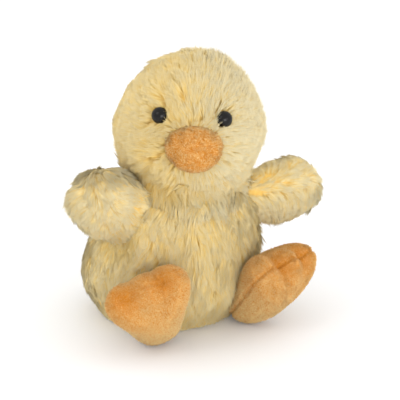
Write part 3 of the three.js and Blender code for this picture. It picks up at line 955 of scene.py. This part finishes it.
def comb(surface, first, last, nap, groom, seed):
    """Strands as root, middle and tip points, with widths and tones, for a whole form.

    A strand's tip is its root plus the way times its length plus the normal times its rise. The middle
    is less far along than it is up, so the strand bends over. Both sink by their way squared over twice
    the form's radius, which keeps them along the curve of the form. They are then drawn to the same
    points of the tuft's own axis and of the clump's, the tip fully and the middle by half. A few loose
    strands are hardly drawn in and stand higher, and a few are golden.
    """
    rng = np.random.default_rng(seed)
    clumps = lay_clumps(surface, first, last, nap, groom, rng, seed)
    latitude, longitude = spread(surface, first, last, nap.spacing, rng)
    centre, normal, north, east = surface_frame(surface, latitude, longitude)
    count, strands = len(centre), nap.strands
    clump = {key: value[nearest(centre, clumps["centre"])] for key, value in clumps.items()}
    swing = rng.normal(0, TUFT_VARY["swing"], count)[:, None]
    way = tangent(clump["way"] + clump["side"] * swing, normal)
    side = np.cross(normal, way)
    length = clump["length"] * (1 + rng.normal(0, TUFT_VARY["length"], count))
    rise = clump["rise"] * (1 + rng.normal(0, TUFT_VARY["rise"], count))

    shape = (count, strands)
    turned = rng.uniform(0, TAU, shape)
    out = nap.spacing * SCATTER * np.sqrt(rng.uniform(0, 1, shape))
    north_size = np.linalg.norm(north, axis=-1)[:, None]
    east_size = np.maximum(np.linalg.norm(east, axis=-1)[:, None], nap.spacing)
    root_lat = np.clip(latitude[:, None] + out * np.cos(turned) / north_size, first, last)
    root_lon = longitude[:, None] + out * np.sin(turned) / east_size
    root, root_normal, _, _ = surface_frame(surface, root_lat, root_lon)
    root = root - root_normal * nap.depth
    swing = rng.normal(0, 1, shape) * nap.stray
    own_way = tangent(way[:, None] + side[:, None] * swing[..., None], root_normal)
    own_length = (length[:, None] * (1 + rng.normal(0, STRAND_VARY["length"], shape)))[..., None]
    own_rise = (rise[:, None] * (1 + rng.normal(0, STRAND_VARY["rise"], shape)))[..., None]
    loose = (rng.uniform(0, 1, shape) < LOOSE_SHARE)[..., None]
    tight = np.where(loose, LOOSE_PULL, 1.0)
    own_rise = own_rise * np.where(loose, LOOSE_RISE, 1.0)

    def stand(start, heading, up, along, high):
        sink = (own_length * along) ** 2 / (2 * nap.radius)
        return start + heading * own_length * along + up * (own_rise * high - sink)

    def stand_drawn(along, high, share):
        spot = stand(root, own_way, root_normal, along, high)
        for base, heading, up, pull in (
            (centre, way, normal, nap.gather * np.ones(count)),
            (clump["centre"], clump["way"], clump["normal"], clump["draw"]),
        ):
            axis = stand((base - up * nap.depth)[:, None], heading[:, None], up[:, None], along, high)
            spot = spot + share * tight * pull[:, None, None] * (axis - spot)
        return spot

    tip = stand_drawn(1.0, 1.0, 1.0)
    middle = stand_drawn(BEND_ALONG, nap.bend, MIDDLE_DRAW)
    golden = rng.uniform(0, 1, shape) < GOLDEN_STRANDS
    tone = clump["tone"][:, None] + rng.normal(0, nap.tone_vary, shape) - GOLDEN_DROP * golden
    width = nap.width * rng.uniform(*WIDTH_VARY, shape)
    coat = {
        "root": root.reshape(-1, 3), "middle": middle.reshape(-1, 3), "tip": tip.reshape(-1, 3),
        "width": width.ravel(), "tone": tone.ravel(), "normal": root_normal.reshape(-1, 3),
    }
    if clumps["gap"].any():
        gap = {key: value[clumps["gap"]] for key, value in clumps.items()}
        seen = centre + way * (SEEN_ALONG * length)[:, None]
        near = np.repeat(nearest(seen, gap["centre"]), strands)
        open_gaps(coat, gap["centre"][near], gap["way"][near], gap["side"][near])
    return coat


# %% Panels of pile
TONE_LIMITS = (0.02, 0.98)


def keep(strands, wanted):
    """Only the strands that are wanted."""
    return {key: value[wanted] for key, value in strands.items()}


def add_pile(name, strands, material):
    """One panel's pile as a piece, kept just above the floor."""
    for key in ("root", "middle", "tip"):
        strands[key][:, 2] = np.maximum(strands[key][:, 2], SKIN_LIFT)
    strands["tone"] = np.clip(strands["tone"], *TONE_LIMITS)
    points, triangles, uv, normals = strand_mesh(**strands)
    piece = put_mesh(name, points, triangles, material, uv, normals)
    print(name, len(strands["root"]), "strands", len(triangles), "triangles")
    return piece


# %% [markdown]
# ## Head
# The face is two panels that meet down the forehead, and their pile is brushed away from the bill on
# all sides: up over the forehead, out over the cheeks, down under the chin, where long tufts hang over
# the chest. The eyes are pulled into the stuffing, so the pile stands higher round them and hides their
# rims. None grows under the eyes or under the bill.

# %% Eyes' and bill's places
EYE_RADIUS = 3.0 * MM
EYE_BULGE = 2.7 * MM
EYE_GAP = 0.3 * MM
EYE_LIFT = np.radians(20)
EYE_SPREAD = {"left": np.radians(24.5 - 90), "right": np.radians(-27.5 - 90)}
BEAK_WIDTH = 20 * MM
BEAK_HEIGHT = 16 * MM
BEAK_REACH = 9.5 * MM
BEAK_BACK = HEAD_RADIUS - 1.5 * MM
BEAK_SHIFT = 0.6 * MM
BEAK_DROP = 0.9 * MM
BEAK_TAPER = 0.1
MOUTH_LEVEL = -1.9 * MM


def eye_axes(outwards):
    """The two axes across an eye: level and upright."""
    across = unit(np.cross(outwards, np.array([0, 0, 1.0])))
    return across, np.cross(across, outwards)


eye_seats = {}
for side, longitude in EYE_SPREAD.items():
    seat = head_surface(np.array([EYE_LIFT]), np.array([longitude]))[0]
    outwards = unit(seat - HEAD_CENTRE)
    eye_seats[side] = (seat + outwards * EYE_GAP, outwards)
bill_root = head_place(np.array([BEAK_SHIFT, -HEAD_RADIUS, -BEAK_DROP]))
print("eyes", {side: (seat / MM).round(1).tolist() for side, (seat, _) in eye_seats.items()}, "mm")

# %% Areas of the head
BROW_LINE = -19.5 * MM
BROW_SLANT = 0.12
BILL_RING = (0.95, 0.3)
FAR_RING = 9
EYE_NEAR = 4.5 * MM


def bill_ring(local):
    """Distance from the middle of the bill over its half sizes: 1 on its rim, far behind the head."""
    across = (local[:, 0] - BEAK_SHIFT) / (BEAK_WIDTH / 2)
    high = (local[:, 2] + BEAK_DROP) / (BEAK_HEIGHT / 2)
    return np.hypot(across, high) + FAR_RING * (local[:, 1] > 0)


def head_areas(points):
    """How far each place belongs to the areas of the head that lie differently, from 0 to 1.

    The skirt is the lower head, the chin its front, and the lap what hangs over the chest. The flat area
    lies beyond the brow line on the right, with a ridge before it.
    """
    local = head_local(points)
    x, y, z = local.T
    brow = BROW_LINE + BROW_SLANT * z
    back = ramp_up(y, -4 * MM, 8 * MM)
    flat = ramp_up(brow - x, -1.5 * MM, 1.5 * MM) * (1 - back)
    skirt = ramp_up(-z, 8 * MM, 17 * MM)
    chin = skirt * ramp_up(-y, -5 * MM, 8 * MM)
    rough = ramp_up(-x, -12 * MM, 10 * MM) * (1 - flat)
    rim, width = BILL_RING
    return {
        "back": back, "flat": flat, "skirt": skirt, "chin": chin, "rough": rough,
        "rough_back": rough * back,
        "lap": chin * ramp_up(body_depth(points), -8 * MM, -2 * MM),
        "crown": ramp_up(0.6 * z - 0.8 * x, 0.4 * HEAD_RADIUS, 0.9 * HEAD_RADIUS),
        "tousled": ramp_up(0.6 * z + 0.8 * x, 0.5 * HEAD_RADIUS, 0.9 * HEAD_RADIUS),
        "ridge": bell(x - brow - 3 * MM, 3 * MM) * ramp_up(-y, 0, 8 * MM),
        "smooth_side": ramp_up(x, 14 * MM, 24 * MM),
        "forehead": bell(x, 6 * MM) * ramp_up(z, 8 * MM, 14 * MM) * (y < 0),
        "at_bill": bell(bill_ring(local) - rim, width),
        "near_eye": sum(bell(np.linalg.norm(seat - points, axis=-1), EYE_NEAR)
                        for seat, _ in eye_seats.values()),
    }


def weigh(areas, base, **weights):
    """A base value, plus the weight of each named area times how far a place belongs to it."""
    value = base
    for name, weight in weights.items():
        value = value + weight * areas[name]
    return value


print("brow line", round(BROW_LINE / MM, 1), "mm")

# %% Head nap
HEAD_NAP = Nap(length=6.6 * MM, rise=2.15 * MM, radius=HEAD_RADIUS)
EYE_AWAY = 1.2
CHIN_WAVE = 8 * MM
LEAST_LENGTH = 0.15


def head_groom(points, normals):
    """Away from the bill and from the eyes. The chin hangs in longer tufts, the right cheek is rough and
    painted golden as painted shade, the left smooth and pale, and beyond the brow line on the right the pile
    lies flat and is painted golden too, as painted shade."""
    areas = head_areas(points)
    skirt, at_bill, near_eye = areas["skirt"], areas["at_bill"], areas["near_eye"]
    way = unit(points - bill_root) + np.outer(0.1 + 0.9 * skirt, [0, 0, -1.0])
    for seat, _ in eye_seats.values():
        towards = seat - points
        close = bell(np.linalg.norm(towards, axis=-1), EYE_NEAR)
        way = way - EYE_AWAY * close[:, None] * unit(towards)
    hang = skirt * (0.3 + 0.35 * ripple(points, CHIN_WAVE, SEEDS["chin"]))
    draw = weigh(areas, 0.5, rough=0.8, chin=1.8, forehead=0.6, flat=-0.4, back=1.0)
    gap = weigh(areas, 0.04, rough=0.16, chin=0.2, forehead=0.2, back=0.15)
    return {
        "way": way,
        "length": np.maximum(1 + hang - 0.85 * near_eye - 0.55 * at_bill, LEAST_LENGTH),
        "rise": weigh(areas, 1, skirt=0.3, lap=1.6, ridge=0.15, flat=-0.15, near_eye=0.9, crown=-0.5,
                      tousled=0.4, at_bill=0.5, smooth_side=-0.4),
        "draw": draw * (1 - near_eye) * (1 - at_bill),
        "wander": weigh(areas, 0.45, rough=0.8, forehead=-0.2, chin=0.5, back=0.5),
        # Painted shade: the flat band, the rough right cheek and the skirt under the head are made golden, the
        # rough area less so at the back. Painted light: the lap over the chest is made paler, against the shade
        # under the chin.
        "tone": weigh(areas, 0.86, ridge=0.1, flat=-0.4, rough=-0.5, skirt=-0.1, rough_back=0.2, lap=0.3),
        "gap": gap * (1 - areas["flat"]) * (1 - at_bill),
    }


print(HEAD_NAP)

# %% Trimming round the eyes and the bill
EYE_CLEARANCE = np.array([1.75, 2.6]) * MM
EYE_REACH = 3 * EYE_RADIUS
TRIM_STEPS = 9
TRIM_LEAST = 2
BILL_ROOTS = 0.84


def round_eyes(strands):
    """Trims the strands that run over an eye: each ends at the last of a few steps along it that is still
    outside an upright oval round the eye's axis. Those that enter it in their first steps are dropped."""
    root, middle, tip = (strands[key] for key in ("root", "middle", "tip"))
    steps = np.linspace(0, 1, TRIM_STEPS)[:, None, None]
    lower = root + (middle - root) * 2 * steps
    upper = middle + (tip - middle) * (2 * steps - 1)
    path = np.where(steps < 0.5, lower, upper)
    open_steps = np.full(len(root), TRIM_STEPS)
    for seat, outwards in eye_seats.values():
        axes = np.stack(eye_axes(outwards))
        offset = path - seat
        inside = np.linalg.norm(offset @ axes.T / EYE_CLEARANCE, axis=-1) < 1
        inside &= np.linalg.norm(offset, axis=-1) < EYE_REACH
        open_steps = np.where(inside.any(0), np.minimum(open_steps, inside.argmax(0)), open_steps)
    strand = np.arange(len(root))
    trimmed = open_steps < TRIM_STEPS
    last = np.maximum(open_steps - 1, 0)
    strands["tip"] = np.where(trimmed[:, None], path[last, strand], tip)
    strands["middle"] = np.where(trimmed[:, None], path[last // 2, strand], middle)
    return keep(strands, open_steps > TRIM_LEAST)


def off_bill(strands):
    """Strands that root under the bill are dropped."""
    return keep(strands, bill_ring(head_local(strands["root"])) > BILL_ROOTS)


# %% Head pile
HEAD_BURIED = 4 * MM

head_strands = comb(head_coat, -np.pi / 2, np.pi / 2, HEAD_NAP, head_groom, SEEDS["head"])
head_strands = off_bill(round_eyes(head_strands))
head_strands = keep(head_strands, body_depth(head_strands["root"]) < HEAD_BURIED)
head_roots = head_local(head_strands["root"])
in_face = head_roots[:, 1] < FACE_SEAM
on_left = head_roots[:, 0] > 0
for name, wanted in {
    "head_face_left": in_face & on_left, "head_face_right": in_face & ~on_left,
    "head_back_left": ~in_face & on_left, "head_back_right": ~in_face & ~on_left,
}.items():
    panel = add_pile(f"{name}_pile", keep(head_strands, wanted), plush_pile)
    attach(panel, "head")
    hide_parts(name)

# %% [markdown]
# ## Body
# The belly is one long panel from side seam to side seam, brushed down and a little outwards in clear
# tufts, which hang as a fringe at the hem. The two back panels are brushed down too, with fewer gaps.
# No pile grows under the head, or inside the feet and the wings.

# %% Body pile
BODY_NAP = Nap(length=7.0 * MM, rise=2.15 * MM, radius=34 * MM, clump=3.0 * MM, strands=26,
               width=0.2 * MM)
BELLY_SEAM = 14 * MM
HEM_HEIGHT = 7 * MM
TUCKED_UNDER = 8 * MM
SHADE_WIDTH = 2.5 * MM
IN_FOOT = 1.5 * MM
IN_WING = 4 * MM


def body_groom(points, normals):
    """Down, spreading outwards from the middle of the belly and along the floor at the hem. The belly is
    in clear tufts, the right flank lies low, and so does what is tucked under the head."""
    x, y, z = points.T
    belly = ramp_up(-y - 20 * MM, -4 * MM, 6 * MM)
    hem = ramp_up(HEM_HEIGHT - z, 0, HEM_HEIGHT)
    fringe = belly * ramp_up(HEM_HEIGHT - z, 0.3 * HEM_HEIGHT, HEM_HEIGHT)
    flank = ramp_up(-x, 14 * MM, 30 * MM)
    below_head = np.linalg.norm(points - HEAD_CENTRE, axis=-1) - HEAD_RADIUS
    tucked = 1 - ramp_up(below_head, 0, TUCKED_UNDER)
    wings = (left_wing_local, right_wing_local)
    # Painted shade: this weight makes the pile golden beside the wings, where shade falls in the crease.
    crease = sum(bell(wing_depth(points, local), SHADE_WIDTH) for local in wings)
    way = np.stack([0.35 * x / BODY_PROFILE[1, 0], 0 * x, -1 + 0 * x], -1)
    way = way + (0.8 * hem)[:, None] * normals * [1, 1, 0]
    return {
        "way": way,
        "length": 1 + 0.1 * belly - 0.3 * flank + 0.4 * fringe,
        "rise": (1 + 0.1 * belly - 0.55 * flank + 0.5 * fringe) * (1 - 0.6 * tucked),
        "draw": 1.3 + belly * (1 - 1.5 * tucked) + fringe,
        "wander": 0.9 + 0.1 * belly + 0.5 * tucked,
        # Painted light: paler on the right flank and where the pile is tucked under the head, against the shade
        # there. Painted shade: golden in the crease beside the wings.
        "tone": 0.42 + 0.06 * belly + 0.1 * flank + 0.12 * tucked - 0.45 * crease,
        "gap": 0.22 + 0.3 * belly * (1 - tucked),
    }


body_strands = comb(body_coat, 0.0, 1.0, BODY_NAP, body_groom, SEEDS["body"])
roots = body_strands["root"]
free = np.linalg.norm(roots - HEAD_CENTRE, axis=-1) > HEAD_RADIUS - SKIN_DEPTH
for local in (left_foot_local, right_foot_local):
    free &= foot_depth(roots, local) < IN_FOOT
for local in (left_wing_local, right_wing_local):
    free &= wing_depth(roots, local) < IN_WING
body_strands = keep(body_strands, free)
roots = body_strands["root"]
in_front = roots[:, 1] < -BELLY_SEAM
on_left = roots[:, 0] > 0
for name, node, wanted in (
    ("body_belly_left", "body_belly", in_front & on_left),
    ("body_belly_right", "body_belly", in_front & ~on_left),
    ("body_back_left", "body_back_left", ~in_front & on_left),
    ("body_back_right", "body_back_right", ~in_front & ~on_left),
):
    panel = add_pile(f"{name}_pile", keep(body_strands, wanted), plush_pile)
    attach(panel, "body")
    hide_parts(node)

# %% [markdown]
# ## Wings
# Each wing is a stuffed pod of two panels. Its pile flows along a line on the front and turns away from
# that line on all sides, like the veins of a leaf, over the edge and round to the back. At the shoulder
# the coat swells into a soft corner on the side that faces the chest.

# %% Wing pile
WING_NAP = Nap(length=6.4 * MM, rise=2.1 * MM, radius=13 * MM)
PARTING_WIDTH = 6.0 * MM
WING_TIP = (0.6 * WING_HALF, 1.4 * WING_HALF)
ARMPIT = (-0.2 * WING_HALF, 0.6 * WING_HALF)
WING_BURIED = 2 * MM
UNDER_TRIM = {"left": 0.55, "right": 0.0}
TOP_TRIM = {"left": 0.55, "right": 0.15}
PARTING_DEGREES = {"left": ((-40, 128), (60, 122)), "right": ((45, 150), (60, 10))}


def add_wing(side, coat, local, way, seed):
    """A wing's skin, and the pile of its two panels."""
    parting = np.radians(np.array(PARTING_DEGREES[side]))
    begin, finish = coat(parting[:, 0], parting[:, 1])
    line = finish - begin

    def groom(points, normals):
        share = np.clip((points - begin) @ line / (line @ line), 0, 1)
        away = points - begin - share[:, None] * line
        away = away - (away * normals).sum(-1, keepdims=True) * normals
        lay = ramp_up(np.linalg.norm(away, axis=-1), 0, PARTING_WIDTH)[:, None]
        way = lay * unit(away) + (1 - lay) * unit(line)
        # Painted shade: golden where the wing meets the body, as the shade at the shoulder.
        painted_seam_shade = bell(body_depth(points), SHADE_WIDTH)
        top = ramp_up(normals[:, 2], 0.2, 0.9)
        low = ramp_up(-normals[:, 2], -0.3, 0.6)
        outwards = local(points)[:, 0]
        tip = ramp_up(outwards, *WING_TIP)
        under = tip * low
        armpit = low * (1 - ramp_up(outwards, *ARMPIT))
        return {
            "way": way + np.array([0, 0, -0.1]),
            "length": 1 - 0.5 * armpit,
            "rise": 1 - TOP_TRIM[side] * top - 0.1 * tip - UNDER_TRIM[side] * under - 0.4 * armpit,
            "draw": 1.1,
            "wander": 0.6,
            # Painted shade: darker golden at the shoulder, and a little on the upper side, as the shade under the
            # head.
            "tone": 0.8 - 0.25 * painted_seam_shade - 0.1 * top,
            "gap": 0.18 * (1 - armpit),
        }

    body, wing = "body", f"{side}_wing"
    skin = add_skin(f"{wing}_skin", ball_rows(coat, -SKIN_DEPTH))
    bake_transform(skin)
    strands = comb(coat, -np.pi / 2, np.pi / 2, WING_NAP, groom, seed)
    strands = keep(strands, body_depth(strands["root"]) < WING_BURIED)
    upper = local(strands["root"])[:, 2] > 0
    for panel, wanted in (("upper", upper), ("lower", ~upper)):
        piece = add_pile(f"{wing}_{panel}_pile", keep(strands, wanted), plush_pile)
        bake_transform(piece)
        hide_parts(f"{wing}_{panel}")


add_wing("left", left_wing_coat, left_wing_local, left_wing_way, SEEDS["left wing"])
add_wing("right", right_wing_coat, right_wing_local, right_wing_way,
         SEEDS["right wing"])

# %% [markdown]
# ## Bill
# A stuffed dome of short orange pile, sewn on the face. The mouth is a shallow crease across it. The
# pile is too short to part into tufts, so the strands stand nearly straight and give a grain of light
# and dark specks.

# %% Bill
CREASE_DEPTH = 0.12 * MM
CREASE_WIDTH = 0.9 * MM
SHORT_DEPTH = 0.5 * MM
SHORT_PILE = {
    "radius": 10 * MM, "depth": 1.2 * SHORT_DEPTH, "clump": 1.6 * MM, "spacing": 0.8 * MM, "gather": 0,
    "draw": 0, "stray": 1.2, "bend": 0.8, "patchy": 0.02, "patch": 5 * MM,
}
FOOT_NAP = Nap(length=0.5 * MM, rise=0.75 * MM, strands=11, wander=0.6, width=0.25 * MM, tone_vary=0.16,
               **SHORT_PILE)
BILL_NAP = Nap(length=0.9 * MM, rise=0.8 * MM, strands=14, wander=1.5, width=0.22 * MM, tone_vary=0.3,
               **SHORT_PILE)
BILL_BURIED = 2 * MM


def beak_surface(latitude, longitude, swell=0.0):
    """Half a ball stretched to the bill's width, height and reach, wider above, creased at the mouth."""
    broad = np.cos(latitude) * (1 + BEAK_TAPER * np.sin(latitude))
    level = (BEAK_HEIGHT / 2 + swell) * np.sin(latitude) - BEAK_DROP
    crease = 1 - CREASE_DEPTH / BEAK_REACH * bell(level - MOUTH_LEVEL, CREASE_WIDTH)
    x = (BEAK_WIDTH / 2 + swell) * broad * np.cos(longitude) * crease + BEAK_SHIFT
    y = (BEAK_REACH + swell) * np.cos(latitude) * np.sin(longitude) * crease - BEAK_BACK
    return head_place(np.stack([x, y, level + np.zeros_like(x)], -1))


def beak_groom(points, normals):
    """Down, and paler towards the rim where the bill is sewn on, as painted light against the shade there."""
    # Painted light: the pile is paler towards the rim, against the shade where the bill meets the head's pile.
    rim = ramp_up(head_local(points)[:, 1] + HEAD_RADIUS, -4 * MM, 3 * MM)
    return {"way": np.tile([0.0, 0.0, -1.0], (len(points), 1)), "tone": 0.34 + 0.4 * rim}


def add_stuffed(name, surface, nodes):
    """A stuffed piece of short-pile cloth."""
    piece = put_mesh(name, *closed_rows(ball_rows(surface, -SHORT_DEPTH)), orange_skin)
    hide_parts(*nodes)
    return piece


beak = add_stuffed("beak_cloth", beak_surface, ("beak_upper", "beak_lower"))
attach(beak, "head")
beak_strands = comb(beak_surface, -np.pi / 2, np.pi / 2, BILL_NAP, beak_groom, SEEDS["bill"])
beak_roots = head_local(beak_strands["root"])
beak_strands = keep(beak_strands, np.linalg.norm(beak_roots, axis=-1) > HEAD_RADIUS - BILL_BURIED)
beak_pile = add_pile("beak_pile", beak_strands, orange_pile)
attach(beak_pile, "head")

# %% [markdown]
# ## Feet
# Each foot is a padded web with three toes, sewn round its edge from a top and a sole. The seam pulls
# the cloth in all round, and a stitch pulls it deep at each web, so three toes puff out. The pile is
# painted darker in those dimples and along the seam, as painted shade, and lies paler on the smooth heel.

# %% Feet
FOOT_SWELL = 0.4 * MM
SEAM_DEPTH = {"left": 0.75 * MM, "right": 0.15 * MM}
SEAM_WIDTH = np.radians(4)
DIMPLE_DEPTH = {"left": 1.1 * MM, "right": 0.5 * MM}
DIMPLE_HIGH = np.radians(20)
DIMPLE_WIDE = np.radians(10)
WEB_DEGREES = {"left": (-26, 26), "right": (-36, 23)}
WEB_SHADE = 5.5 * MM
SEAM_SHADE = 0.7 * MM
TOES = (4 * MM, 22 * MM)
FOOT_BURIED = 3 * MM


def web_pull(latitude, longitude, webs):
    """1 in the middle of each web's stitch, falling away along the edge and up and down from it."""
    turned = np.mod(longitude + np.pi, TAU) - np.pi
    return sum(bell(turned - web, DIMPLE_WIDE) for web in webs) * bell(latitude, DIMPLE_HIGH)


def sewn_foot(surface, side, webs):
    """A foot's form, plumped up, with its edge seam and its web stitches pulled in."""
    def sewn(latitude, longitude, swell=0.0):
        pulled = SEAM_DEPTH[side] * bell(latitude, SEAM_WIDTH)
        pulled = pulled + DIMPLE_DEPTH[side] * web_pull(latitude, longitude, webs)
        return surface(latitude, longitude, swell + FOOT_SWELL - pulled)

    return sewn


def add_foot(side, surface, local, way, joint, seed):
    """A foot's cloth and pile."""
    foot = f"{side}_foot"
    angles = np.radians(WEB_DEGREES[side])
    sewn = sewn_foot(surface, side, angles)
    webs = [sewn(np.zeros(1), np.array([angle]))[0] for angle in angles]

    def groom(points, normals):
        # Painted shade: the pile is darker round the stitched web dimples.
        dark = sum(bell(np.linalg.norm(points - web, axis=-1), WEB_SHADE) for web in webs)
        toes = ramp_up(local(points)[:, 2], *TOES)
        painted_seam_shade = bell(local(points)[:, 1], SEAM_SHADE)
        # Painted shade: darker in the web dimples and in the seam groove, the more so the deeper the seam.
        tone = 0.84 - 0.3 * toes - 0.5 * dark - 0.4 * painted_seam_shade * SEAM_DEPTH[side] / MM
        return {"way": tangent(np.tile(-way, (len(points), 1)), normals), "tone": tone}

    cloth = add_stuffed(f"{foot}_cloth", sewn, (f"{foot}_top", f"{foot}_sole"))
    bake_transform(cloth)
    strands = comb(sewn, -np.pi / 2, np.pi / 2, FOOT_NAP, groom, seed)
    strands = keep(strands, body_depth(strands["root"]) < FOOT_BURIED)
    pile = add_pile(f"{foot}_pile", strands, orange_pile)
    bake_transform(pile)


add_foot("left", *left_foot, "left_foot_flex", SEEDS["left foot"])
add_foot("right", *right_foot, "right_foot_flex", SEEDS["right foot"])

# %% [markdown]
# ## Eyes
# Safety eyes are polished black domes. Each is half of a flattened ball, with a flatter half behind it.

# %% Eyes
EYE_BLACK = (16, 14, 13)
EYE_ROUGHNESS = 0.18
EYE_SHINE = 0.25
EYE_BACK = 0.8 * MM

eye_material, _, eye_shader = new_material("eye", EYE_ROUGHNESS)
eye_shader.inputs["Base Color"].default_value = srgb(*EYE_BLACK)
eye_shader.inputs["Specular IOR Level"].default_value = EYE_SHINE
for side, (seat, outwards) in eye_seats.items():
    latitude, longitude = grid(-np.pi / 2, np.pi / 2)
    depth = np.where(latitude < 0, EYE_BACK, EYE_BULGE) * np.sin(latitude)
    across, upwards = eye_axes(outwards)
    ring = EYE_RADIUS * np.cos(latitude)
    sideways = (ring * np.cos(longitude))[..., None] * across
    downwards = (ring * np.sin(longitude))[..., None] * -upwards
    rows = seat + depth[..., None] * outwards + sideways + downwards
    eye = put_mesh(f"{side}_eye_dome", *closed_rows(rows), eye_material)
    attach(eye, "head")
    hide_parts(f"{side}_eye")
print("eyes", len(eye_seats), "domes", 2 * EYE_RADIUS / MM, "mm across")

# %% [markdown]
# ## Inside pieces
# The fillings, the pouch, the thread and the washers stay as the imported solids, each with the look of
# its own stuff.

# %% Inside materials
inside = {
    "filling": cloth_material("fibre filling", (228, 226, 218), (246, 245, 240), scale=700, depth=0.4 * MM),
    "pouch": cloth_material("pouch cotton", (204, 198, 184), (222, 218, 206), scale=1500, depth=0.1 * MM),
    "thread": cloth_material("gathering thread", (204, 182, 128), (226, 206, 154), scale=2500,
                             depth=0.1 * MM),
    "washer": cloth_material("washer plastic", (222, 222, 218), (234, 234, 230), scale=300,
                             depth=0.02 * MM, roughness=0.5),
}
slots = {part["node"]: part["material_slot"] for part in frame["record"]["subparts"]}
for node, piece in frame["nodes"].items():
    if slots[node] in inside:
        piece.data.materials.clear()
        piece.data.materials.append(inside[slots[node]])
print("inside pieces", [n for n in slots if slots[n] in inside])
